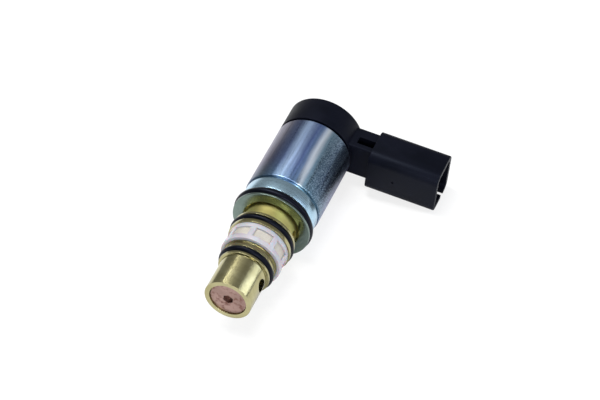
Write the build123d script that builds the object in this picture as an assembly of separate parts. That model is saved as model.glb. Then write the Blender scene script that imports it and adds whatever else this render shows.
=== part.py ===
"""Electric control valve of a variable-displacement refrigerant compressor.

A turned brass body with three rubber rings, a filter and radial ports sits in a plated steel
flange. The flange closes a steel can that holds the coil, the fixed core and the armature, and
a moulded plastic cap with a two-pin socket closes the other end.

Pieces are drawn about the valve's axis: +Z runs from the nose to the cap and +X to the socket's
mouth. placed() lays the valve down: its axis becomes +Y, and it rests on the flange ring and on
the socket's lower edge. Sizes are in millimetres.
"""

import os
from math import asin, atan2, cos, degrees, hypot, radians, sin

from build123d import *

# Fits
press = 0.0
running = 0.03
armature_running = 0.05
slip = 0.05
ring_seat_gap = 0.02
ring_stand = 0.4
lower_ring_stand = 0.65

# Brass body, from the nose up
nose_step = 0.85
nose_length = 12.2
nose_edge = 0.3
lower_rim_drop = 0.2
lower_rim_width = 0.9
rim_edge = 0.15
lower_ring_section = 1.8
groove_play = 0.4
second_rim_width = 1.3
undercut_depth = 0.15
undercut_width = 0.5
filter_seat_radius = 8.6
filter_seat_length = 7.0
shoulder_step = 1.65
shoulder_width = 1.3
upper_ring_section = 1.8
upper_rim_width = 0.9
neck_length = 7.6
neck_fillet = 0.5
collar_step = 0.8
collar_length = 2.5

# Bores and ports of the body
nose_wall = 1.55
bush_bore_radius = 3.2
bush_bore_length = 11.8
seat_hole_radius = 1.9
seat_length = 4.5
valve_chamber_radius = 4.2
nose_port_diameter = 4.2
nose_port_below_rim = 3.6
middle_port_diameter = 3.0
middle_port_count = 4
upper_port_diameter = 2.6
upper_port_above_shoulder = 3.2
port_azimuth = -11.0

# Adjuster plug, bellows and guide bush
plug_recess = 0.5
plug_thickness = 2.5
plug_edge = 0.2
hex_across_flats = 3.0
hex_depth = 1.6
bellows_gap = 1.1
bellows_fold_depth = 1.0
bellows_wall = 0.2
bellows_folds = 5
bellows_end = 0.8
bellows_height = 7.4
bush_length = 5.8
bush_edge = 0.3

# Filter
filter_wall = 1.15
filter_length = 6.7
filter_window_count = 8
filter_window_height = 3.4
filter_upper_rim = 1.6
filter_rib_angle = 10.0
filter_rib_azimuth = -99.0
mesh_wall = 0.15
mesh_depth = 0.6
mesh_overlap = 0.4

# Push rod
rod_radius = 1.5
rod_waist_radius = 1.0
rod_head_radius = 2.6
rod_head_length = 2.0
rod_foot_gap = 0.02
rod_in_armature = 6.0
rod_cone = 0.5

# Steel flange
flange_overlap = 5.0
flange_reach = 3.4
flange_lip_width = 0.8
flange_edge = 0.2
flange_ring_section = 2.5
flange_groove_width = 3.0
flange_ring_play = 0.45
flange_land_step = 0.3
flange_land_width = 5.4
flange_spigot_length = 1.8
relief_width = 0.8
relief_depth = 0.35

# Solenoid
can_step = 0.3
can_wall = 1.0
can_length = 26.7
can_edge = 0.5
can_shoulder = 0.9
can_turn_in = 1.7
core_radius = 5.05
spring_pocket_radius = 3.0
spring_pocket_depth = 4.0
shim_thickness = 0.2
working_gap = 0.8
armature_length = 8.9
armature_vent_radius = 0.6
tube_wall = 0.3
tube_end_wall = 0.5
tube_end_gap = 0.5
armature_end_gap = 1.5
tube_foot_radius = 6.9
tube_foot_thickness = 0.4
tube_ring_section = 1.5
tube_ring_play = 0.05
bobbin_drum_wall = 1.05
bobbin_gap = 0.3
bobbin_flange = 1.2
coil_inset = 0.4
flux_plate_thickness = 2.2
spring_wire = 0.5
spring_mean_radius = 2.3
spring_turns = 4

# Cap, neck and socket
cap_step = 0.0
cap_height = 9.9
cap_edge = 0.6
neck_width = 12.6
arm_top_drop = 0.7
arm_height = 8.4
arm_top_rail = 3.8
arm_lower_rail = 1.8
arm_pocket_length = 5.7
arm_pocket_depth = 3.0
arm_pocket_from_cap = 0.4
arm_length = 6.2
socket_length = 23.4
socket_width = 15.8
socket_height = 13.6
socket_top_rise = 1.1
socket_corner = 3.2
cavity_width = 12.4
cavity_height = 10.2
cavity_depth = 14.0
cavity_corner = 1.7
key_slot_width = 2.4
key_slot_depth = 2.0
key_slot_offset = 1.9
latch_width = 5.0
latch_length = 3.5
latch_height = 1.2
latch_setback = 3.0
gate_pit_radius = 0.45
gate_pit_depth = 0.2
gate_pit_from_start = 9.0

# Terminals
blade_width = 2.8
blade_thickness = 0.8
blade_pitch = 5.0
blade_free_length = 8.0
blade_edge = 0.35
leg_from_tube = 2.15
leg_width = 1.5
leg_clearance = 0.3

# Heights along the axis
lower_groove_start = nose_length + lower_rim_width
lower_groove_width = lower_ring_section + groove_play
second_rim_start = lower_groove_start + lower_groove_width
undercut_start = second_rim_start + second_rim_width
filter_seat_start = undercut_start + undercut_width
shoulder_start = filter_seat_start + filter_seat_length
upper_groove_start = shoulder_start + shoulder_width
upper_groove_width = upper_ring_section + groove_play
upper_rim_start = upper_groove_start + upper_groove_width
neck_start = upper_rim_start + upper_rim_width
collar_start = neck_start + neck_length
body_top = collar_start + collar_length
seat_start = nose_length + bush_bore_length
seat_face = seat_start + seat_length
plug_top = plug_recess + plug_thickness
bellows_top = plug_top + bellows_height
flange_start = body_top - flange_overlap
flange_groove_start = flange_start + flange_lip_width
flange_land_start = flange_groove_start + flange_groove_width
can_start = flange_land_start + flange_land_width
flange_top = can_start + flange_spigot_length
cap_start = can_start + can_length
flux_plate_top = cap_start - can_wall
tube_top = flux_plate_top - tube_end_gap
armature_top = tube_top - tube_end_wall - armature_end_gap
armature_start = armature_top - armature_length
core_top = armature_start - working_gap - shim_thickness
bobbin_top = flux_plate_top - flux_plate_thickness
cap_top = cap_start + cap_height
rod_top = armature_start + rod_in_armature
filter_start = shoulder_start - filter_length
window_middle = shoulder_start - filter_upper_rim - filter_window_height / 2

# Radii that follow from others
shoulder_radius = filter_seat_radius + shoulder_step
lower_rim_radius = filter_seat_radius - lower_rim_drop
undercut_radius = lower_rim_radius - undercut_depth
nose_radius = lower_rim_radius - nose_step
bellows_chamber_radius = nose_radius - nose_wall
bellows_radius = bellows_chamber_radius - bellows_gap
neck_radius = filter_seat_radius
collar_radius = neck_radius + collar_step
flange_lip_radius = collar_radius + flange_reach
can_radius = flange_lip_radius - can_step
flange_land_radius = can_radius - flange_land_step
cap_radius = can_radius - cap_step
lower_ring_outer = lower_rim_radius + lower_ring_stand
upper_ring_outer = shoulder_radius + ring_stand
flange_ring_outer = flange_lip_radius + ring_stand
can_bore = can_radius - can_wall
can_hole_radius = can_bore - can_turn_in
bobbin_radius = can_bore - bobbin_gap
coil_radius = bobbin_radius - coil_inset
tube_bore = core_radius + press
tube_radius = tube_bore + tube_wall
armature_radius = tube_bore - armature_running
rod_bore = rod_radius + running
bobbin_bore = tube_radius + slip
bobbin_drum = bobbin_bore + bobbin_drum_wall
filter_bore = filter_seat_radius + slip
filter_radius = filter_bore + filter_wall

# Neck, socket and terminals
nose_port_height = nose_length - nose_port_below_rim
socket_start = cap_radius + arm_length
socket_end = socket_start + socket_length
arm_pocket_start = cap_radius + arm_pocket_from_cap
leg_centre = tube_radius + leg_from_tube
socket_top = cap_top + socket_top_rise
socket_middle = socket_top - socket_height / 2
cavity_start = socket_end - cavity_depth
arm_top = cap_top - arm_top_drop
blade_end = cavity_start + blade_free_length

# Turn about the axis that brings the socket's lower edge down to the flange ring's level
rest_turn = degrees(
    asin(flange_ring_outer / hypot(socket_end, socket_width / 2))
    - atan2(socket_width / 2, socket_end)
)

UP = (Align.CENTER, Align.CENTER, Align.MIN)
OUTWARD = (Align.MIN, Align.CENTER, Align.CENTER)


def turned(points):
    """Solid of revolution about the valve's axis through (radius, height) points."""
    outline = Polyline(*[(radius, 0, height) for radius, height in points], close=True)
    return revolve(make_face(outline), Axis.Z)


def bar(radius, start, end):
    """Round bar on the axis between two heights."""
    return Pos(0, 0, start) * Cylinder(radius, end - start, align=UP)


def tube(outer, inner, start, end):
    """Tube on the axis between two heights."""
    return bar(outer, start, end) - bar(inner, start, end)


def beam(start, end, width, height, middle, offset=0.0):
    """Box along +X between two reaches, centred on a height and a sideways offset."""
    return Pos(start, offset, middle) * Box(end - start, width, height, align=OUTWARD)


def radial_hole(diameter, height, azimuth, inner, outer):
    """Drill shape that runs outwards at one height."""
    drill = Cylinder(diameter / 2, outer - inner, align=UP)
    return Rot(0, 0, azimuth) * Pos(inner, 0, height) * Rot(0, 90, 0) * drill


def rubber_ring(outer, section, height):
    """Rubber ring of round section."""
    return Pos(0, 0, height) * Torus(outer - section / 2, section / 2)


def valve_body():
    """Brass body: nose, ring grooves, filter seat, shoulder, neck and collar, bored and ported."""
    lower_groove_radius = lower_ring_outer - lower_ring_section - ring_seat_gap
    upper_groove_radius = upper_ring_outer - upper_ring_section - ring_seat_gap
    body = turned([
        (0, 0),
        (nose_radius - nose_edge, 0),
        (nose_radius, nose_edge),
        (nose_radius, nose_length),
        (lower_rim_radius - rim_edge, nose_length),
        (lower_rim_radius, nose_length + rim_edge),
        (lower_rim_radius, lower_groove_start),
        (lower_groove_radius, lower_groove_start),
        (lower_groove_radius, second_rim_start),
        (lower_rim_radius, second_rim_start),
        (lower_rim_radius, undercut_start),
        (undercut_radius, undercut_start),
        (undercut_radius, filter_seat_start),
        (filter_seat_radius, filter_seat_start),
        (filter_seat_radius, shoulder_start),
        (shoulder_radius - rim_edge, shoulder_start),
        (shoulder_radius, shoulder_start + rim_edge),
        (shoulder_radius, upper_groove_start),
        (upper_groove_radius, upper_groove_start),
        (upper_groove_radius, upper_rim_start),
        (shoulder_radius, upper_rim_start),
        (shoulder_radius, neck_start - rim_edge),
        (shoulder_radius - rim_edge, neck_start),
        (neck_radius + neck_fillet, neck_start),
        (neck_radius, neck_start + neck_fillet),
        (neck_radius, collar_start),
        (collar_radius, collar_start),
        (collar_radius, body_top),
        (0, body_top),
    ])
    body -= bar(bellows_chamber_radius, 0, nose_length)
    body -= bar(bush_bore_radius, nose_length, seat_start)
    body -= bar(seat_hole_radius, seat_start, seat_face)
    body -= bar(valve_chamber_radius, seat_face, body_top)
    return drill_ports(body)


def drill_ports(body):
    """Cross-drill the nose and neck ports, and drill the ports behind the filter."""
    for azimuth in (port_azimuth, port_azimuth + 180):
        body -= radial_hole(nose_port_diameter, nose_port_height, azimuth,
                            bellows_chamber_radius - 1, nose_radius + 1)
        body -= radial_hole(upper_port_diameter, neck_start + upper_port_above_shoulder, azimuth,
                            valve_chamber_radius - 1, neck_radius + 1)
    for i in range(middle_port_count):
        body -= radial_hole(middle_port_diameter, window_middle,
                            port_azimuth + i * 360 / middle_port_count,
                            bush_bore_radius - 1, filter_seat_radius + 1)
    return body


def adjuster_plug():
    """Plug pressed into the nose, with a hexagon socket."""
    plug = turned([
        (0, plug_recess),
        (bellows_chamber_radius - press - plug_edge, plug_recess),
        (bellows_chamber_radius - press, plug_recess + plug_edge),
        (bellows_chamber_radius - press, plug_top),
        (0, plug_top),
    ])
    hexagon = RegularPolygon(hex_across_flats / 2, 6, major_radius=False)
    return plug - Pos(0, 0, plug_recess) * extrude(hexagon, hex_depth)


def bellows():
    """Thin folded bellows with solid ends, between the plug and the push rod."""
    root = bellows_radius - bellows_fold_depth
    fold_height = (bellows_height - 2 * bellows_end) / bellows_folds
    start = plug_top + bellows_end
    end = bellows_top - bellows_end
    outside = [(0, plug_top), (root, plug_top), (root, start)]
    inside = [(0, start), (root - bellows_wall, start)]
    for i in range(bellows_folds):
        foot = start + i * fold_height
        for share, radius in ((0.35, bellows_radius), (0.65, bellows_radius), (1.0, root)):
            outside.append((radius, foot + share * fold_height))
            inside.append((radius - bellows_wall, foot + share * fold_height))
    outside += [(root, bellows_top), (0, bellows_top), (0, end)]
    return turned(outside + inside[:0:-1] + [(0, start)])


def guide_bush():
    """Bush that guides the push rod's lower end."""
    end = nose_length + bush_length
    return turned([
        (rod_bore, nose_length),
        (bush_bore_radius - press, nose_length),
        (bush_bore_radius - press, end - bush_edge),
        (bush_bore_radius - press - bush_edge, end),
        (rod_bore, end),
    ])


def push_rod():
    """Push rod with a waist in the seat hole and a head above the seat."""
    head = seat_face + working_gap
    waist_start = seat_start - 1.0
    return turned([
        (0, bellows_top + rod_foot_gap),
        (rod_radius, bellows_top + rod_foot_gap),
        (rod_radius, waist_start - rod_cone),
        (rod_waist_radius, waist_start),
        (rod_waist_radius, head),
        (rod_head_radius, head),
        (rod_head_radius, head + rod_head_length),
        (rod_radius, head + rod_head_length + rod_cone),
        (rod_radius, rod_top),
        (0, rod_top),
    ])


def filter_frame():
    """Moulded filter frame with windows between its ribs, and a slot for the mesh."""
    frame = tube(filter_radius, filter_bore, filter_start, shoulder_start)
    pitch = 360 / filter_window_count
    low = window_middle - filter_window_height / 2
    ring = tube(filter_radius + 1, filter_bore - 1, low, low + filter_window_height)
    far = 2 * filter_radius
    sides = [
        (far * cos(radians(angle)), far * sin(radians(angle)))
        for angle in (filter_rib_angle / 2, pitch - filter_rib_angle / 2)
    ]
    sector = make_face(Polyline((0, 0), *sides, close=True))
    wedge = Pos(0, 0, low) * extrude(sector, filter_window_height)
    for i in range(filter_window_count):
        frame -= ring & (Rot(0, 0, filter_rib_azimuth + i * pitch) * wedge)
    return frame - filter_mesh()


def filter_mesh():
    """Fine screen moulded into the filter frame."""
    outer = filter_radius - mesh_depth
    reach = filter_window_height / 2 + mesh_overlap
    return tube(outer, outer - mesh_wall, window_middle - reach, window_middle + reach)


def pole_flange():
    """Steel flange: grips the body's collar, carries the housing ring and closes the can."""
    groove_radius = flange_ring_outer - flange_ring_section - ring_seat_gap
    pocket_radius = tube_foot_radius + slip
    pocket_top = body_top + tube_foot_thickness + tube_ring_section + tube_ring_play
    return turned([
        (collar_radius + press, flange_start),
        (flange_lip_radius - flange_edge, flange_start),
        (flange_lip_radius, flange_start + flange_edge),
        (flange_lip_radius, flange_groove_start),
        (groove_radius, flange_groove_start),
        (groove_radius, flange_land_start),
        (flange_land_radius, flange_land_start),
        (flange_land_radius, can_start - relief_width),
        (flange_land_radius - relief_depth, can_start - relief_width),
        (flange_land_radius - relief_depth, can_start),
        (can_bore - press, can_start),
        (can_bore - press, flange_top),
        (tube_radius + running, flange_top),
        (tube_radius + running, pocket_top),
        (pocket_radius, pocket_top),
        (pocket_radius, body_top),
        (collar_radius + press, body_top),
    ])


def guide_tube():
    """Thin closed sleeve around the core and the armature, with a clamped foot."""
    return turned([
        (tube_bore, body_top),
        (tube_foot_radius, body_top),
        (tube_foot_radius, body_top + tube_foot_thickness),
        (tube_radius, body_top + tube_foot_thickness),
        (tube_radius, tube_top),
        (0, tube_top),
        (0, tube_top - tube_end_wall),
        (tube_bore, tube_top - tube_end_wall),
    ])


def fixed_core():
    """Fixed core on the body's top face, bored for the rod, with a pocket for the spring."""
    core = tube(core_radius, rod_bore, body_top, core_top)
    return core - bar(spring_pocket_radius, core_top - spring_pocket_depth, core_top)


def antistick_shim():
    """Thin ring that keeps the armature off the core."""
    return tube(core_radius - slip, spring_pocket_radius, core_top, core_top + shim_thickness)


def armature():
    """Armature pressed on the rod, with a vent through its closed end."""
    slug = bar(armature_radius, armature_start, armature_top)
    slug -= bar(rod_radius + press, armature_start, rod_top)
    return slug - bar(armature_vent_radius, rod_top, armature_top)


def return_spring():
    """Coil spring between the core's pocket and the armature."""
    start = core_top - spring_pocket_depth + spring_wire / 2
    height = armature_start - spring_wire / 2 - start
    path = Pos(0, 0, start) * Helix(height / spring_turns, height, spring_mean_radius)
    return sweep(Plane(path @ 0, z_dir=path % 0) * Circle(spring_wire / 2), path)


def leg_slots(floor, top, clearance):
    """Pair of upright cutters around the terminals' legs."""
    middle = (floor + top) / 2
    reach = leg_width / 2 + clearance
    width = blade_thickness + 2 * clearance
    return [beam(leg_centre - reach, leg_centre + reach, width, top - floor, middle, side)
            for side in (-blade_pitch / 2, blade_pitch / 2)]


def bobbin():
    """Bobbin that the coil is wound on, slotted for the terminals' legs."""
    spool = bar(bobbin_drum, flange_top, bobbin_top)
    spool += bar(bobbin_radius, flange_top, flange_top + bobbin_flange)
    spool += bar(bobbin_radius, bobbin_top - bobbin_flange, bobbin_top)
    spool -= bar(bobbin_bore, flange_top, bobbin_top)
    return spool - leg_slots(bobbin_top - bobbin_flange, bobbin_top, press)


def coil_winding():
    """Copper winding between the bobbin's flanges."""
    return tube(coil_radius, bobbin_drum, flange_top + bobbin_flange, bobbin_top - bobbin_flange)


def flux_plate():
    """Steel washer that leads the field from the can to the armature."""
    plate = tube(can_bore - press, tube_radius + running, bobbin_top, flux_plate_top)
    return plate - leg_slots(bobbin_top, flux_plate_top, leg_clearance)


def solenoid_can():
    """Drawn steel can with a turned-in top and a broken lower edge."""
    return turned([
        (can_bore, can_start),
        (can_radius - can_edge, can_start),
        (can_radius, can_start + can_edge),
        (can_radius, cap_start - can_shoulder),
        (can_radius - can_shoulder / 4, cap_start - can_shoulder / 3),
        (can_radius - can_shoulder, cap_start),
        (can_hole_radius, cap_start),
        (can_hole_radius, flux_plate_top),
        (can_bore, flux_plate_top),
    ])


def terminal(side):
    """Stamped terminal: a blade in the socket and a leg down to the coil."""
    blade_top = socket_middle + blade_width / 2
    blade_foot = socket_middle - blade_width / 2
    leg_foot = bobbin_top - bobbin_flange
    near = leg_centre - leg_width / 2
    far = leg_centre + leg_width / 2
    outline = Polyline(
        (near, 0, leg_foot), (far, 0, leg_foot), (far, 0, blade_foot),
        (blade_end - blade_edge, 0, blade_foot), (blade_end, 0, blade_foot + blade_edge),
        (blade_end, 0, blade_top - blade_edge), (blade_end - blade_edge, 0, blade_top),
        (near, 0, blade_top), close=True)
    plate = extrude(make_face(outline), blade_thickness / 2, dir=(0, 1, 0), both=True)
    return Pos(0, side * blade_pitch / 2, 0) * plate


def socket_shell():
    """Socket body with its cavity, keying slot, latch nib and gate pit."""
    shell = beam(socket_start, socket_end, socket_width, socket_height, socket_middle)
    shell = fillet(shell.edges().filter_by(Axis.X), socket_corner)
    cavity = beam(cavity_start, socket_end, cavity_width, cavity_height, socket_middle)
    shell -= fillet(cavity.edges().filter_by(Axis.X), cavity_corner)
    wall = (socket_width - cavity_width) / 2
    shell -= beam(socket_end - key_slot_depth, socket_end, 2 * wall, key_slot_width,
                  socket_middle + key_slot_offset, socket_width / 2)
    pit = Pos(socket_start + gate_pit_from_start, 0, socket_middle - socket_height / 2)
    shell -= pit * Cylinder(gate_pit_radius, 2 * gate_pit_depth)
    return shell + latch_nib()


def latch_nib():
    """Ramped nib that the mating plug's clip hooks over."""
    front = socket_end - latch_setback
    outline = Polyline(
        (front - latch_length, 0, socket_top), (front, 0, socket_top),
        (front - latch_length / 3, 0, socket_top + latch_height),
        (front - latch_length, 0, socket_top + latch_height), close=True)
    return extrude(make_face(outline), latch_width / 2, dir=(0, 1, 0), both=True)


def arm():
    """Neck between the cap and the socket, cored out on both sides."""
    middle = arm_top - arm_height / 2
    neck = beam(0, socket_start, neck_width, arm_height, middle)
    pocket_height = arm_height - arm_top_rail - arm_lower_rail
    pocket_middle = arm_top - arm_top_rail - pocket_height / 2
    for side in (-1, 1):
        neck -= beam(arm_pocket_start, arm_pocket_start + arm_pocket_length,
                     2 * arm_pocket_depth, pocket_height, pocket_middle, side * neck_width / 2)
    return neck


def connector_housing():
    """Moulded cap over the can's end, with the neck and the two-pin socket."""
    cap = bar(cap_radius, cap_start, cap_top)
    cap = fillet(cap.edges().group_by(Axis.Z)[-1], cap_edge)
    housing = cap + bar(can_hole_radius - press, flux_plate_top, cap_start)
    housing = housing + arm() + socket_shell()
    return housing - [terminal(-1), terminal(1)]


def flange_o_ring():
    """Large ring that seals the bore's mouth."""
    middle = flange_land_start - flange_ring_play - flange_ring_section / 2
    return rubber_ring(flange_ring_outer, flange_ring_section, middle)


def upper_o_ring():
    """Ring between the filter's and the neck's ports."""
    return rubber_ring(upper_ring_outer, upper_ring_section, upper_groove_start + upper_groove_width / 2)


def lower_o_ring():
    """Ring between the nose's and the filter's ports."""
    return rubber_ring(lower_ring_outer, lower_ring_section, lower_groove_start + lower_groove_width / 2)


def tube_seal():
    """Small ring between the guide tube's foot and the flange."""
    middle = body_top + tube_foot_thickness + tube_ring_section / 2 + tube_ring_play / 2
    return rubber_ring(tube_radius + ring_seat_gap + tube_ring_section, tube_ring_section, middle)


def placed(piece):
    """Lay the valve down: axis along +Y, socket towards +X and dipped to the floor."""
    return Rot(0, rest_turn, 0) * Rot(-90, 0, 0) * piece


PIECES = {
    "valve_body": valve_body,
    "adjuster_plug": adjuster_plug,
    "bellows": bellows,
    "guide_bush": guide_bush,
    "push_rod": push_rod,
    "armature": armature,
    "return_spring": return_spring,
    "antistick_shim": antistick_shim,
    "fixed_core": fixed_core,
    "guide_tube": guide_tube,
    "tube_seal": tube_seal,
    "pole_flange": pole_flange,
    "bobbin": bobbin,
    "coil_winding": coil_winding,
    "flux_plate": flux_plate,
    "solenoid_can": solenoid_can,
    "connector_housing": connector_housing,
    "terminal_left": lambda: terminal(-1),
    "terminal_right": lambda: terminal(1),
    "flange_o_ring": flange_o_ring,
    "upper_o_ring": upper_o_ring,
    "lower_o_ring": lower_o_ring,
    "filter_frame": filter_frame,
    "filter_mesh": filter_mesh,
}

os.makedirs("parts", exist_ok=True)
for name, make in PIECES.items():
    export_step(placed(make()), f"parts/{name}.step")
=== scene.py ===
"""Looks of the compressor control valve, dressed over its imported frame.

Visible pieces are built about the valve's axis in millimetres, with +Z from the nose to the cap
and +X towards the connector's mouth, and laid() turns them into the frame's metres.
"""

from math import asin, atan2, cos, hypot, pi, radians, sin

import bmesh
import bpy
from mathutils import Matrix, Vector


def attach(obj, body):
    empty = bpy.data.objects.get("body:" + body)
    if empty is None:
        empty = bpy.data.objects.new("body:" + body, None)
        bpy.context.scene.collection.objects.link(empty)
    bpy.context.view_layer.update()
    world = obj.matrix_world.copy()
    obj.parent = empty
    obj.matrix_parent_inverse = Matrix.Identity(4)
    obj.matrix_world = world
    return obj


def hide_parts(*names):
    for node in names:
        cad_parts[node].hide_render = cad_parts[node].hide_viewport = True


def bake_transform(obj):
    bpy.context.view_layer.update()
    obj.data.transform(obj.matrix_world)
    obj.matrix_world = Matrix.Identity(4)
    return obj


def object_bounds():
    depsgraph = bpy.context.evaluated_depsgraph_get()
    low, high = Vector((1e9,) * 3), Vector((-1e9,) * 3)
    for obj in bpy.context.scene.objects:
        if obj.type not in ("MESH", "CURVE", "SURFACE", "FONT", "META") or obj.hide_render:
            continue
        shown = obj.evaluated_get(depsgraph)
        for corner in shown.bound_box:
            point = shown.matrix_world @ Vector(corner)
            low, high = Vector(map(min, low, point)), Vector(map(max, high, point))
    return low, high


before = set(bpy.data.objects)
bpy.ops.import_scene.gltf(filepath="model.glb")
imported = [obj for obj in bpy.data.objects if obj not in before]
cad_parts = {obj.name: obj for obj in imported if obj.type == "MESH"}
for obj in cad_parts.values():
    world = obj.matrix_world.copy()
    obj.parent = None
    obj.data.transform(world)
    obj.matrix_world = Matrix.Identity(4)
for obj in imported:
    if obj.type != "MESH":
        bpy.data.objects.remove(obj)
LOW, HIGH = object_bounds()

MM = 0.001
STEPS = 160
SMOOTH_ANGLE = radians(32)
CORNER_ANGLE = radians(25)

# Heights from the nose, in millimetres
PLUG_FACE, PLUG_BACK, NOSE_END = 0.5, 3.0, 12.2
LOWER_GROOVE, SECOND_RIM, UNDERCUT, FILTER_SEAT = 13.1, 15.3, 16.6, 17.1
FILTER_FOOT, WINDOW_MIDDLE, BORE_STEP = 17.4, 20.8, 24.0
SHOULDER, UPPER_GROOVE, UPPER_RIM, NECK, SEAT_FACE = 24.1, 25.4, 27.6, 28.5, 28.5
COLLAR, BODY_TOP, POCKET_TOP = 36.1, 38.6, 40.55
FLANGE, FLANGE_GROOVE, FLANGE_LAND, CAN = 33.6, 34.4, 37.4, 42.8
FLANGE_TOP, CAP, CAP_TOP = 44.6, 69.5, 79.4

# Radii of the brass body and its plug
NOSE_RADIUS, RIM_RADIUS, UNDERCUT_RADIUS, SEAT_RADIUS = 7.55, 8.4, 8.25, 8.6
LOWER_GROOVE_RADIUS, UPPER_GROOVE_RADIUS, SHOULDER_RADIUS = 7.23, 8.83, 10.25
NECK_FILLET, COLLAR_RADIUS = 0.5, 9.4
PLUG_RADIUS, BUSH_BORE, SEAT_HOLE, VALVE_CHAMBER = 6.0, 3.2, 1.9, 4.2
PORT_AZIMUTH = -11.0

# Radii of the filter, the flange and the can
FILTER_BORE, FILTER_RADIUS, SCREEN_INSIDE, SCREEN_OUTSIDE = 8.65, 9.8, 9.05, 9.2
LIP_RADIUS, FLANGE_GROOVE_RADIUS, LAND_RADIUS, RELIEF_RADIUS = 12.8, 10.68, 12.2, 11.85
CAN_RADIUS, CAN_BORE, CAN_MOUTH, TUBE_HOLE, TUBE_POCKET = 12.5, 11.5, 9.8, 5.38, 6.95
RING_OUTER = 13.2

# Socket and neck of the housing
SOCKET_START, SOCKET_END, SOCKET_WIDTH, SOCKET_HEIGHT = 18.7, 42.1, 15.8, 13.6
SOCKET_TOP = CAP_TOP + 1.1
SOCKET_MIDDLE = SOCKET_TOP - SOCKET_HEIGHT / 2

# The valve is turned about its axis until the ring and the socket's edge both touch the table
TURN = asin(RING_OUTER / hypot(SOCKET_END, SOCKET_WIDTH / 2)) - atan2(SOCKET_WIDTH / 2, SOCKET_END)
LAY = Matrix.Rotation(TURN, 4, "Y") @ Matrix.Rotation(-pi / 2, 4, "X") @ Matrix.Scale(MM, 4)


# Mesh helpers

def circle_edges(bm):
    """Sharp edges that run round the axis."""
    found = []
    for e in bm.edges:
        a, b = e.verts[0].co, e.verts[1].co
        level = abs(a.z - b.z) < 1e-5 and abs(hypot(a.x, a.y) - hypot(b.x, b.y)) < 1e-4
        if level and len(e.link_faces) == 2 and e.calc_face_angle(0) > CORNER_ANGLE:
            found.append(e)
    return found


def spun(profile, bevel=0.0, segments=3):
    """Closed solid of revolution through (radius, height) points, its corners rounded."""
    bm = bmesh.new()
    verts = [bm.verts.new((r, 0, z)) for r, z in profile]
    edges = [bm.edges.new((a, b)) for a, b in zip(verts, verts[1:])]
    if min(profile[0][0], profile[-1][0]) > 0:
        edges.append(bm.edges.new((verts[-1], verts[0])))
    bmesh.ops.spin(bm, geom=verts + edges, cent=(0, 0, 0), axis=(0, 0, 1), angle=2 * pi,
                   steps=STEPS, use_merge=True, use_duplicate=False)
    bmesh.ops.remove_doubles(bm, verts=bm.verts, dist=1e-4)
    bmesh.ops.recalc_face_normals(bm, faces=bm.faces)
    if bevel:
        bmesh.ops.bevel(bm, geom=circle_edges(bm), offset=bevel, offset_type="OFFSET",
                        affect="EDGES", segments=segments, profile=0.5, material=-1,
                        clamp_overlap=True)
    return bm


def box(x0, x1, y0, y1, z0, z1, along=None, radius=0.0, edge=0.0):
    """Box between corners; radius rounds the edges along one direction, edge rounds the rest."""
    bm = bmesh.new()
    bmesh.ops.create_cube(bm, size=1)
    bmesh.ops.scale(bm, vec=(x1 - x0, y1 - y0, z1 - z0), verts=bm.verts)
    bmesh.ops.translate(bm, vec=((x0 + x1) / 2, (y0 + y1) / 2, (z0 + z1) / 2), verts=bm.verts)
    if radius:
        chosen = [e for e in bm.edges
                  if abs(abs((e.verts[0].co - e.verts[1].co).normalized()[along]) - 1) < 1e-3]
        bmesh.ops.bevel(bm, geom=chosen, offset=radius, offset_type="OFFSET", affect="EDGES",
                        segments=10, profile=0.5, material=-1)
    if edge:
        chosen = [e for e in bm.edges if e.calc_face_angle(0) > radians(60)]
        bmesh.ops.bevel(bm, geom=chosen, offset=edge, offset_type="OFFSET", affect="EDGES",
                        segments=3, profile=0.5, material=-1)
    return bm


def rod(diameter, length, place, sides=48):
    """Round bar along its own Z, moved into place."""
    bm = bmesh.new()
    bmesh.ops.create_cone(bm, cap_ends=True, segments=sides, radius1=diameter / 2,
                          radius2=diameter / 2, depth=length)
    bmesh.ops.transform(bm, matrix=place, verts=bm.verts)
    return bm


def to_object(name, bm):
    """New object from a mesh, still in the valve's own millimetres."""
    mesh = bpy.data.meshes.new(name)
    bm.to_mesh(mesh)
    bm.free()
    obj = bpy.data.objects.new(name, mesh)
    bpy.context.scene.collection.objects.link(obj)
    return obj


def combine(obj, parts, operation):
    """Add to or cut from a piece with other closed shapes."""
    tools = [to_object("tool", bm) for bm in parts]
    for tool in tools:
        modifier = obj.modifiers.new("combine", "BOOLEAN")
        modifier.operation = operation
        modifier.solver = "EXACT"
        modifier.object = tool
    bpy.context.view_layer.update()
    done = bpy.data.meshes.new_from_object(obj.evaluated_get(bpy.context.evaluated_depsgraph_get()))
    obj.modifiers.clear()
    old, obj.data = obj.data, done
    bpy.data.meshes.remove(old)
    for tool in tools:
        bpy.data.meshes.remove(tool.data)
    return obj


def shade(bm):
    """Smooth faces with crisp edges where they turn sharply."""
    for face in bm.faces:
        face.smooth = True
    for e in bm.edges:
        e.smooth = e.calc_face_angle(0) < SMOOTH_ANGLE


def laid(obj, material, node):
    """Lay a finished piece into the frame, shade it, and let it stand for its node."""
    bm = bmesh.new()
    bm.from_mesh(obj.data)
    bmesh.ops.dissolve_degenerate(bm, dist=1e-4, edges=bm.edges)
    bmesh.ops.transform(bm, matrix=LAY, verts=bm.verts)
    shade(bm)
    bm.to_mesh(obj.data)
    bm.free()
    obj.data.name = obj.name
    obj.data.materials.clear()
    obj.data.materials.append(material)
    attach(obj, "valve")
    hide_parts(node)


# Material helpers

def tint(text):
    """Linear colour from an sRGB hex text."""
    values = [int(text[i:i + 2], 16) / 255 for i in (1, 3, 5)]
    return tuple(v / 12.92 if v <= 0.04045 else ((v + 0.055) / 1.055) ** 2.4 for v in values) + (1,)


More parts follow.
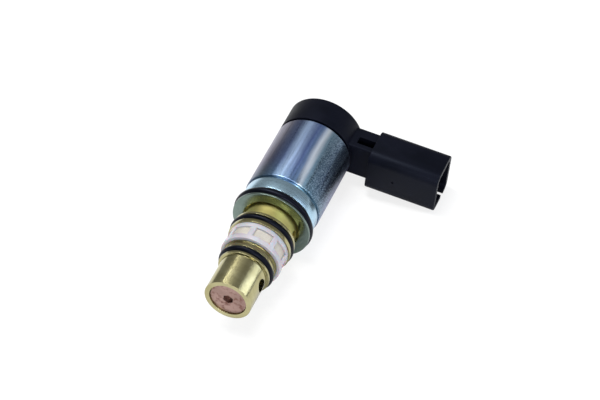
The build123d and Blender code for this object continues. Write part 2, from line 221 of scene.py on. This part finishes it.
def add(tree, kind, inputs=(), **settings):
    """New node with its settings, and its inputs set or linked by name or number."""
    made = tree.nodes.new("ShaderNode" + kind)
    for key, value in settings.items():
        setattr(made, key, value)
    for key, value in dict(inputs).items():
        if isinstance(value, bpy.types.NodeSocket):
            tree.links.new(value, made.inputs[key])
        else:
            made.inputs[key].default_value = value
    return made


def new_material(name):
    """Material with an empty tree and object coordinates in millimetres along (x, axis, z)."""
    material = bpy.data.materials.new(name)
    material.use_nodes = True
    tree = material.node_tree
    tree.nodes.clear()
    coords = add(tree, "TexCoord").outputs["Object"]
    mm = add(tree, "VectorMath", {0: coords, "Scale": 1 / MM}, operation="SCALE").outputs[0]
    return material, tree, mm


def finish(tree, shader):
    """Link a shader to the material's output."""
    add(tree, "OutputMaterial", {"Surface": shader.outputs[0]})


def noise(tree, where, scale, detail=3.0, rough=0.55):
    """Noise whose scale is in features per unit of the coordinates."""
    return add(tree, "TexNoise", {"Vector": where, "Scale": scale, "Detail": detail,
                                  "Roughness": rough}).outputs["Fac"]


def ramp(tree, value, *stops):
    """Colour ramp through (position, hex) stops."""
    made = add(tree, "ValToRGB", {"Fac": value})
    line = made.color_ramp.elements
    line[0].position, line[0].color = stops[0][0], tint(stops[0][1])
    line[1].position, line[1].color = stops[-1][0], tint(stops[-1][1])
    for position, text in stops[1:-1]:
        line.new(position).color = tint(text)
    return made.outputs["Color"]


def remap(tree, value, low, high, start=0.0, end=1.0):
    """Value from start to end, turned to one from low to high and held there."""
    return add(tree, "MapRange", {"Value": value, "From Min": start, "From Max": end,
                                  "To Min": low, "To Max": high}).outputs["Result"]


def mixed(tree, share, first, second):
    """Colour that goes from the first to a second, given as hex."""
    return add(tree, "Mix", {0: share, 6: first, 7: tint(second)}, data_type="RGBA").outputs[2]


def total(tree, first, second):
    """Sum of two values."""
    return add(tree, "Math", {0: first, 1: second}, operation="ADD").outputs[0]


def product(tree, first, second):
    """Product of two values."""
    return add(tree, "Math", {0: first, 1: second}, operation="MULTIPLY").outputs[0]


def waves(tree, value, pitch):
    """Sine that repeats at each pitch."""
    turns = product(tree, value, 2 * pi / pitch)
    return add(tree, "Math", {0: turns}, operation="SINE").outputs[0]


def around(tree, parts):
    """Angle about the valve's axis, from separated coordinates."""
    return add(tree, "Math", {0: parts["Z"], 1: parts["X"]}, operation="ARCTAN2").outputs[0]


def stretched(tree, mm, across, along):
    """Coordinates scaled unevenly: across the axis and along it."""
    return add(tree, "VectorMath", {0: mm, 1: (across, along, across)},
               operation="MULTIPLY").outputs[0]


def turned_metal(name, dark, light, roughness, groove_mm, groove_depth, spots=None, painted_above=None,
                 dull=0.0):
    """Turned metal: tool lines round the axis, slow colour drift and fine speckle.

    spots is a stain's colour; painted_above is a height and the painted reflection colour that the
    metal is given past it, and dull is the roughness that it gains there.
    """
    material, tree, mm = new_material(name)
    drift = noise(tree, stretched(tree, mm, 0.12, 0.3), 1.0, 4)
    speckle = noise(tree, mm, 6.0, 2)
    colour = ramp(tree, drift, (0.35, dark), (0.65, light))
    if spots:
        stain = remap(tree, noise(tree, mm, 0.8, 6), 0, 1, 0.5, 0.66)
        colour = mixed(tree, stain, colour, spots)
    # Painted reflection: past the given height the metal's colour is swapped for a painted one
    if painted_above:
        height, reflected_colour = painted_above
        along = add(tree, "SeparateXYZ", {0: mm}).outputs["Y"]
        reflection_and_dull_mask = remap(tree, along, 0, 1, height, height + 0.3)
        colour = mixed(tree, reflection_and_dull_mask, colour, reflected_colour)
    lines = noise(tree, stretched(tree, mm, 0.02, 1 / groove_mm), 1.0, 2)
    rough = total(tree, remap(tree, lines, roughness * 0.75, roughness * 1.25, 0.3, 0.7),
                  remap(tree, speckle, -0.04, 0.04, 0.3, 0.7))
    if dull:
        rough = total(tree, rough, remap(tree, reflection_and_dull_mask, 0, dull))
    relief = total(tree, lines, remap(tree, speckle, 0, 0.3))
    bump = add(tree, "Bump", {"Height": relief, "Strength": 0.6, "Distance": groove_depth * MM})
    finish(tree, add(tree, "BsdfPrincipled", {
        "Base Color": colour, "Metallic": 1.0, "Roughness": rough, "Normal": bump.outputs[0]}))
    return material


def passivated_can():
    """Drawn steel under blue passivation: painted reflections as light and dark bands round the
    wall, with painted highlight streaks, and speckle.
    """
    material, tree, mm = new_material("blue_passivated_drawn_steel")
    parts = add(tree, "SeparateXYZ", {0: mm}).outputs
    wobble = remap(tree, noise(tree, stretched(tree, mm, 0.25, 0.06), 1.0, 1), -0.04, 0.04,
                   0.25, 0.75)
    share = remap(tree, total(tree, around(tree, parts), wobble), 0, 1, -pi, pi)
    # Painted reflections and shade: dark bands and bright highlight streaks painted round the wall,
    # where the lamps and the room would be mirrored
    painted_reflection_bands = ramp(tree, share, (0.0, "#7c7894"), (0.42, "#8a8298"), (0.47, "#57527a"),
                 (0.52, "#2c2f49"), (0.58, "#384861"), (0.63, "#4b6172"), (0.650, "#7390a4"),
                 (0.670, "#ecf5ff"), (0.692, "#7690bd"), (0.710, "#56699c"), (0.752, "#b4cdf2"),
                 (0.787, "#45547a"), (0.84, "#241d3a"), (0.90, "#433a58"), (1.0, "#7c7894"))
    lower_end = remap(tree, parts["Y"], 0.35, 0.0, CAN, CAN + 8)
    reflections_and_teal_end = mixed(tree, lower_end, painted_reflection_bands, "#4c6f76")
    # The crystals are about 0.1 mm on such a can and are drawn at 0.3 mm, so that they show
    grain = noise(tree, mm, 3.2, 3, 0.7)
    # The crystal specks are real, but they are painted light only on the side beside the bright
    # streak, as a painted glint
    glint_side = remap(tree, share, 1, 0.2, 0.60, 0.69)
    specks = product(tree, remap(tree, grain, 0, 0.65, 0.49, 0.61), glint_side)
    colour = mixed(tree, specks, reflections_and_teal_end, "#b4cbdc")
    draw_lines = noise(tree, stretched(tree, mm, 1.2, 0.03), 1.0, 2)
    rough = total(tree, remap(tree, draw_lines, 0.24, 0.42, 0.3, 0.7),
                  remap(tree, grain, -0.05, 0.1, 0.3, 0.7))
    bump = add(tree, "Bump", {"Height": total(tree, draw_lines, grain), "Strength": 0.06,
                              "Distance": 0.02 * MM})
    finish(tree, add(tree, "BsdfPrincipled", {
        "Base Color": colour, "Metallic": 1.0, "Roughness": rough, "Normal": bump.outputs[0]}))
    return material


def moulded(name, dark, light, roughness, grain_mm, depth, subsurface=0.0, shine=0.5,
            sheen="#ffffff"):
    """Moulded plastic or rubber: fine spark texture, faint flow marks and uneven sheen."""
    material, tree, mm = new_material(name)
    flow = noise(tree, stretched(tree, mm, 0.1, 0.16), 1.0, 3)
    grain = noise(tree, mm, 1 / grain_mm, 2, 0.6)
    colour = ramp(tree, flow, (0.35, dark), (0.65, light))
    rough = remap(tree, total(tree, flow, grain), roughness * 0.85, roughness * 1.15, 0.7, 1.3)
    bump = add(tree, "Bump", {"Height": grain, "Strength": 0.5, "Distance": depth * MM})
    finish(tree, add(tree, "BsdfPrincipled", {
        "Base Color": colour, "Roughness": rough, "Normal": bump.outputs[0],
        "Subsurface Weight": subsurface, "Subsurface Scale": 1.5 * MM,
        "Specular IOR Level": shine, "Specular Tint": tint(sheen)}))
    return material


def woven_screen():
    """Fine woven screen: wires both ways round a thin sleeve, with painted shade in the gaps
    between them.
    """
    material, tree, mm = new_material("woven_stainless_screen")
    parts = add(tree, "SeparateXYZ", {0: mm}).outputs
    # Such a screen has a wire each 0.1 mm; it is drawn at 0.24 mm, so that it shows
    pitch = 0.24
    across = waves(tree, around(tree, parts), pitch / SCREEN_OUTSIDE)
    along = waves(tree, parts["Y"], pitch)
    height = add(tree, "Math", {0: across, 1: along}, operation="MAXIMUM").outputs[0]
    # Painted shade: the colour darkens where the weave is low, in the gaps between the wires
    colour = ramp(tree, remap(tree, height, 0, 1, -0.6, 0.7), (0.0, "#9d978c"), (0.55, "#bab5a9"),
                  (1.0, "#cbc7bd"))
    bump = add(tree, "Bump", {"Height": height, "Strength": 0.7, "Distance": 0.05 * MM})
    finish(tree, add(tree, "BsdfPrincipled", {
        "Base Color": colour, "Metallic": 0.5, "Roughness": 0.42, "Normal": bump.outputs[0]}))
    return material


def winding():
    """Enamelled wire of 0.3 mm, wound round the bobbin, with painted light on each turn's crest and
    painted shade between the turns.
    """
    material, tree, mm = new_material("enamelled_copper_wound")
    turns_relief_and_shade = waves(tree, add(tree, "SeparateXYZ", {0: mm}).outputs["Y"], 0.3)
    # Painted light and shade: each turn is lighter on its crest and darker in the groove between
    # turns
    colour = ramp(tree, remap(tree, turns_relief_and_shade, 0, 1, -1, 1), (0.0, "#5a2c16"), (1.0, "#c97a48"))
    bump = add(tree, "Bump", {"Height": turns_relief_and_shade, "Strength": 0.8, "Distance": 0.1 * MM})
    finish(tree, add(tree, "BsdfPrincipled", {
        "Base Color": colour, "Metallic": 0.8, "Roughness": 0.35, "Normal": bump.outputs[0]}))
    return material


# Pale golden brass, cut bright; past the neck it is painted yellower and brighter, a painted
# reflection of the yellow collar and painted light where the neck lies in shade, and a little dull
BRASS = turned_metal("turned_brass", "#8b8560", "#9b9672", 0.19, 0.2, 0.006,
                     painted_above=(NECK - 0.2, "#e0d386"), dull=0.17)
# Pinkish wash with brown stains, dull from handling
COPPER_WASH = turned_metal("copper_washed_brass", "#866e66", "#9c827a", 0.5, 0.3, 0.01, "#6c4c44")
# Greenish grey plating; the land beside the can is painted pale blue, a painted reflection
PLATED = turned_metal("turned_zinc_plated_steel", "#5b6862", "#6c7a74", 0.27, 0.3, 0.008,
                      painted_above=(FLANGE_LAND - 0.3, "#98b4c4"))
# Inner steels: bright where they slide, darker and rougher where the field runs
GROUND = turned_metal("ground_stainless_steel", "#9a9b9d", "#b4b5b6", 0.2, 0.1, 0.005)
SOFT_IRON = turned_metal("turned_soft_iron", "#7f8083", "#98999c", 0.4, 0.25, 0.02)
WIRE = turned_metal("drawn_spring_steel", "#7d7e82", "#9b9ca0", 0.3, 0.5, 0.005)
# Warm thin sheet metal, and tin that has yellowed in places
BRONZE = turned_metal("formed_bronze_bellows", "#9a8756", "#b9a673", 0.35, 0.6, 0.005)
TINNED = turned_metal("stamped_tinned_brass", "#b5b4ae", "#d0cfc9", 0.32, 0.5, 0.01, "#a5a39a")
# Near-black rubber and plastic with a faint cool sheen; the plastic's grain is the coarser
RUBBER = moulded("moulded_black_rubber", "#010206", "#03040a", 0.38, 0.12, 0.006, shine=0.13,
                 sheen="#c8d0f4")
PLASTIC = moulded("spark_eroded_black_plastic", "#03040a", "#070811", 0.5, 0.16, 0.015,
                  shine=0.095, sheen="#c4d2f2")
BOBBIN = moulded("glass_filled_bobbin_plastic", "#1d1f22", "#292b2f", 0.55, 0.2, 0.02)
# Cool white that light sinks into, so that the windows' edges look soft
WHITE = moulded("moulded_white_nylon", "#96959f", "#aaa8ad", 0.38, 0.2, 0.01, subsurface=0.5,
                shine=0.4)
BLUE = passivated_can()
SCREEN = woven_screen()
COPPER = winding()


# Pieces

def radial(angle, height, reach):
    """Place of a bar that runs outwards at one height."""
    return (Matrix.Rotation(radians(angle), 4, "Z") @ Matrix.Translation((reach, 0, height))
            @ Matrix.Rotation(pi / 2, 4, "Y"))


def brass_body():
    """Turned body with its bores and ports."""
    profile = [
        (PLUG_RADIUS, 0), (NOSE_RADIUS, 0), (NOSE_RADIUS, NOSE_END), (RIM_RADIUS, NOSE_END),
        (RIM_RADIUS, LOWER_GROOVE), (LOWER_GROOVE_RADIUS, LOWER_GROOVE),
        (LOWER_GROOVE_RADIUS, SECOND_RIM), (RIM_RADIUS, SECOND_RIM), (RIM_RADIUS, UNDERCUT),
        (UNDERCUT_RADIUS, UNDERCUT), (UNDERCUT_RADIUS, FILTER_SEAT), (SEAT_RADIUS, FILTER_SEAT),
        (SEAT_RADIUS, SHOULDER), (SHOULDER_RADIUS, SHOULDER), (SHOULDER_RADIUS, UPPER_GROOVE),
        (UPPER_GROOVE_RADIUS, UPPER_GROOVE), (UPPER_GROOVE_RADIUS, UPPER_RIM),
        (SHOULDER_RADIUS, UPPER_RIM), (SHOULDER_RADIUS, NECK), (SEAT_RADIUS + NECK_FILLET, NECK),
        (SEAT_RADIUS, NECK + NECK_FILLET), (SEAT_RADIUS, COLLAR), (COLLAR_RADIUS, COLLAR),
        (COLLAR_RADIUS, BODY_TOP), (VALVE_CHAMBER, BODY_TOP), (VALVE_CHAMBER, SEAT_FACE),
        (SEAT_HOLE, SEAT_FACE), (SEAT_HOLE, BORE_STEP), (BUSH_BORE, BORE_STEP),
        (BUSH_BORE, NOSE_END), (PLUG_RADIUS, NOSE_END)]
    obj = to_object("body_turned", spun(profile, 0.14))
    nose_port, neck_port = NOSE_END - 3.6, NECK + 3.2
    drills = []
    for angle in (PORT_AZIMUTH, PORT_AZIMUTH + 180):
        drills.append(rod(4.2, 3.4, radial(angle, nose_port, 6.7)))
        drills.append(rod(2.6, 6.4, radial(angle, neck_port, 6.4)))
    for i in range(4):
        drills.append(rod(3.0, 7.4, radial(PORT_AZIMUTH + 90 * i, WINDOW_MIDDLE, 5.9)))
    combine(obj, drills, "DIFFERENCE")
    laid(obj, BRASS, "valve_body")


def nose_plug():
    """Pressed plug with its hexagon socket."""
    rim = PLUG_RADIUS - 0.2
    obj = to_object("nose_plug", spun(
        [(0, PLUG_FACE), (rim, PLUG_FACE), (PLUG_RADIUS, PLUG_FACE + 0.2),
         (PLUG_RADIUS, PLUG_BACK), (0, PLUG_BACK)], 0.06))
    across_flats, depth = 3.0, 1.6
    key = rod(across_flats / cos(pi / 6), 2 * depth, Matrix.Translation((0, 0, PLUG_FACE)), 6)
    combine(obj, [key], "DIFFERENCE")
    laid(obj, COPPER_WASH, "adjuster_plug")


def steel_flange():
    """Turned flange between the body and the can."""
    relief = CAN - 0.8
    profile = [
        (COLLAR_RADIUS, FLANGE), (LIP_RADIUS, FLANGE), (LIP_RADIUS, FLANGE_GROOVE),
        (FLANGE_GROOVE_RADIUS, FLANGE_GROOVE), (FLANGE_GROOVE_RADIUS, FLANGE_LAND),
        (LAND_RADIUS, FLANGE_LAND), (LAND_RADIUS, relief), (RELIEF_RADIUS, relief),
        (RELIEF_RADIUS, CAN), (CAN_BORE, CAN), (CAN_BORE, FLANGE_TOP), (TUBE_HOLE, FLANGE_TOP),
        (TUBE_HOLE, POCKET_TOP), (TUBE_POCKET, POCKET_TOP), (TUBE_POCKET, BODY_TOP),
        (COLLAR_RADIUS, BODY_TOP)]
    laid(to_object("flange_turned", spun(profile, 0.16)), PLATED,
         "pole_flange")


def blue_can():
    """Drawn can with a rolled lower edge and a turned-in top."""
    profile = [
        (CAN_BORE, CAN), (CAN_RADIUS, CAN), (CAN_RADIUS, CAP - 0.9), (12.36, CAP - 0.5),
        (12.05, CAP - 0.18), (11.6, CAP), (CAN_MOUTH, CAP), (CAN_MOUTH, CAP - 1.0),
        (CAN_BORE, CAP - 1.0)]
    laid(to_object("can_drawn", spun(profile, 0.3, 5)), BLUE, "solenoid_can")


def o_ring(name, outer, section, height, node):
    """Moulded ring of round section."""
    sides = 40
    middle = outer - section / 2
    profile = [(middle + section / 2 * cos(2 * pi * i / sides),
                height + section / 2 * sin(2 * pi * i / sides)) for i in range(sides)]
    laid(to_object(name, spun(profile)), RUBBER, node)


def filter_cage():
    """White filter frame with its windows, and the screen inside them."""
    cage = to_object("filter_cage", spun(
        [(FILTER_BORE, FILTER_FOOT), (FILTER_RADIUS, FILTER_FOOT), (FILTER_RADIUS, SHOULDER),
         (FILTER_BORE, SHOULDER)], 0.15))
    half_height, half_angle, count, first = 1.7, radians(17.5), 8, -99
    windows = []
    for i in range(count):
        bm = box(7.9, 10.6, -0.5, 0.5, WINDOW_MIDDLE - half_height, WINDOW_MIDDLE + half_height)
        for v in bm.verts:
            side = half_angle if v.co.y > 0 else -half_angle
            reach = v.co.x / cos(half_angle) if v.co.x > 9 else v.co.x
            v.co.x, v.co.y = reach * cos(side), reach * sin(side)
        turn = radians(first + 360 / count * (i + 0.5))
        bmesh.ops.rotate(bm, cent=(0, 0, 0), verts=bm.verts, matrix=Matrix.Rotation(turn, 3, "Z"))
        windows.append(bm)
    combine(cage, windows, "DIFFERENCE")
    laid(cage, WHITE, "filter_frame")
    low, high = WINDOW_MIDDLE - 2.1, WINDOW_MIDDLE + 2.1
    screen = to_object("filter_screen", spun(
        [(SCREEN_INSIDE, low), (SCREEN_OUTSIDE, low), (SCREEN_OUTSIDE, high),
         (SCREEN_INSIDE, high)]))
    laid(screen, SCREEN, "filter_mesh")


def latch_nib():
    """Ramped nib on top of the socket, for the mating plug's clip."""
    nib = box(35.6, 39.1, -2.5, 2.5, SOCKET_TOP - 0.6, SOCKET_TOP + 1.2, 1, 0.0, 0.18)
    for v in nib.verts:
        if v.co.z > SOCKET_TOP + 0.3 and v.co.x > 37:
            v.co.x -= 1.1
    return nib


def housing():
    """Moulded cap, neck and two-pin socket in one piece."""
    spigot, seam = CAP - 1.0, CAP + 0.3
    obj = to_object("housing_moulded", spun([
        (0, spigot), (CAN_MOUTH, spigot), (CAN_MOUTH, CAP), (CAN_BORE, CAP), (CAN_BORE, seam),
        (CAN_RADIUS, seam), (CAN_RADIUS, CAP_TOP), (0, CAP_TOP)], 0.3, 5))
    half, arm_low, arm_high = SOCKET_WIDTH / 2, CAP_TOP - 9.1, CAP_TOP - 0.7
    low = SOCKET_MIDDLE - SOCKET_HEIGHT / 2
    shell = box(SOCKET_START, SOCKET_END, -half, half, low, SOCKET_TOP, 0, 3.2, 0.25)
    arm = box(4.0, SOCKET_START + 1.0, -6.3, 6.3, arm_low, arm_high, 0, 0.4)
    combine(obj, [shell, arm, latch_nib()], "UNION")

    past_mouth = SOCKET_END + 0.9
    cavity = box(28.1, past_mouth, -6.2, 6.2, SOCKET_MIDDLE - 5.1, SOCKET_MIDDLE + 5.1, 0, 1.7)
    side_slot = box(SOCKET_END - 2.0, past_mouth, 5.9, 9.0, SOCKET_MIDDLE + 0.7,
                    SOCKET_MIDDLE + 3.1)
    gate_pit = rod(0.9, 0.5, Matrix.Translation((27.7, 0, low)))
    cuts = [cavity, side_slot, gate_pit]
    for side in (-1, 1):
        inner, outer = sorted((side * 3.3, side * 7.5))
        cuts.append(box(12.9, 18.6, inner, outer, arm_high - 6.6, arm_high - 3.8, 1, 0.4))
        blade = side * 2.5
        cuts.append(box(6.75, 29.0, blade - 0.4, blade + 0.4, SOCKET_MIDDLE - 1.4,
                        SOCKET_MIDDLE + 1.4))
    combine(obj, cuts, "DIFFERENCE")
    laid(obj, PLASTIC, "connector_housing")


def sprung(name, node, material):
    """Copy of a CAD spring with its doubled points merged and its shading set, in place of the CAD
    node, which is hidden.
    """
    bm = bmesh.new()
    bm.from_mesh(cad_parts[node].data)
    bmesh.ops.remove_doubles(bm, verts=bm.verts, dist=1e-7)
    shade(bm)
    obj = to_object(name, bm)
    obj.data.materials.append(material)
    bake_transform(obj)
    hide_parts(node)


brass_body()
nose_plug()
steel_flange()
blue_can()
o_ring("ring_flange", RING_OUTER, 2.5, 35.7, "flange_o_ring")
o_ring("ring_upper", 10.65, 1.8, 26.5, "upper_o_ring")
o_ring("ring_lower", 9.05, 1.8, 14.2, "lower_o_ring")
filter_cage()
housing()
sprung("bellows_folded", "bellows", BRONZE)
sprung("spring_wound", "return_spring", WIRE)

CARRIED = {
    "guide_bush": GROUND, "push_rod": GROUND, "armature": SOFT_IRON,
    "antistick_shim": GROUND, "fixed_core": SOFT_IRON,
    "guide_tube": GROUND, "tube_seal": RUBBER, "bobbin": BOBBIN, "coil_winding": COPPER,
    "flux_plate": PLATED, "terminal_left": TINNED, "terminal_right": TINNED,
}
for name, material in CARRIED.items():
    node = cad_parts[name]
    for slot in node.material_slots:
        slot.material = material


# Floor, light and camera

def white_floor():
    """Pale table that keeps a soft shadow."""
    bm = bmesh.new()
    bmesh.ops.create_grid(bm, x_segments=8, y_segments=8, size=1.6)
    bmesh.ops.translate(bm, vec=(0, 0, LOW[2] - 0.00002), verts=bm.verts)
    floor = to_object("floor_table", bm)
    material, tree, mm = new_material("white_table_card")
    grain = noise(tree, mm, 0.8, 3)
    bump = add(tree, "Bump", {"Height": grain, "Strength": 0.1, "Distance": 0.05 * MM})
    paper = add(tree, "BsdfDiffuse", {"Color": (0.9, 0.9, 0.9, 1), "Normal": bump.outputs[0]})
    glow = add(tree, "Emission", {"Color": (1, 1, 1, 1), "Strength": 1.0})
    path = add(tree, "LightPath").outputs
    seen = product(tree, path["Is Camera Ray"], 0.75)
    finish(tree, add(tree, "MixShader", {0: seen, 1: paper.outputs[0], 2: glow.outputs[0]}))
    floor.data.materials.append(material)


def world_light():
    """Even grey room light, white where the camera sees it."""
    world = bpy.data.worlds.new("studio_room")
    bpy.context.scene.world = world
    world.use_nodes = True
    tree = world.node_tree
    tree.nodes.clear()
    path = add(tree, "LightPath").outputs
    strength = remap(tree, path["Is Camera Ray"], 0.38, 1.0)
    glow = add(tree, "Background", {"Color": (1, 1, 1, 1), "Strength": strength})
    add(tree, "OutputWorld", {"Surface": glow.outputs[0]})


def lamp(name, place, target, size, power, colour="#ffffff"):
    """Softbox aimed at a point; places and sizes in metres."""
    data = bpy.data.lights.new(name, "AREA")
    data.shape, data.size, data.size_y = "RECTANGLE", size[0], size[1]
    data.energy, data.color = power, tint(colour)[:3]
    obj = bpy.data.objects.new(name, data)
    obj.location = place
    obj.rotation_euler = (Vector(target) - Vector(place)).to_track_quat("-Z", "Y").to_euler()
    bpy.context.scene.collection.objects.link(obj)


def photo_camera():
    """Camera that looks down on the nose end from the front right."""
    azimuth, height, roll = radians(24.195), radians(45.83), radians(-2.899)
    aim, distance = Vector((0.010, 0.040, 0)), 0.7728
    back = Vector((sin(azimuth) * cos(height), -cos(azimuth) * cos(height), sin(height)))
    right = Vector((cos(azimuth), sin(azimuth), 0))
    up = back.cross(right)
    axes = Matrix((right * cos(roll) + up * sin(roll), up * cos(roll) - right * sin(roll), back))
    data = bpy.data.cameras.new("camera_main")
    data.sensor_width, data.lens = 36, 150
    data.shift_x, data.shift_y = -0.0141, 0.0312
    data.clip_start, data.clip_end = 0.05, 10
    obj = bpy.data.objects.new("camera_main", data)
    obj.matrix_world = Matrix.Translation(aim + back * distance) @ axes.transposed().to_4x4()
    bpy.context.scene.collection.objects.link(obj)
    bpy.context.scene.camera = obj


white_floor()
world_light()
lamp("softbox_key", (-0.15, 0.10, 0.62), (0, 0.05, 0), (0.16, 0.55), 5.0)
lamp("softbox_front", (0.25, -0.55, 0.35), (0, 0.02, 0), (0.40, 0.28), 3.4)
lamp("softbox_right", (0.55, 0.20, 0.30), (0, 0.05, 0), (0.12, 0.5), 1.5, "#e6eeff")
photo_camera()

view = bpy.context.scene.view_settings
view.view_transform = "Standard"
view.look = "None"
view.exposure = 0.0
view.gamma = 1.0
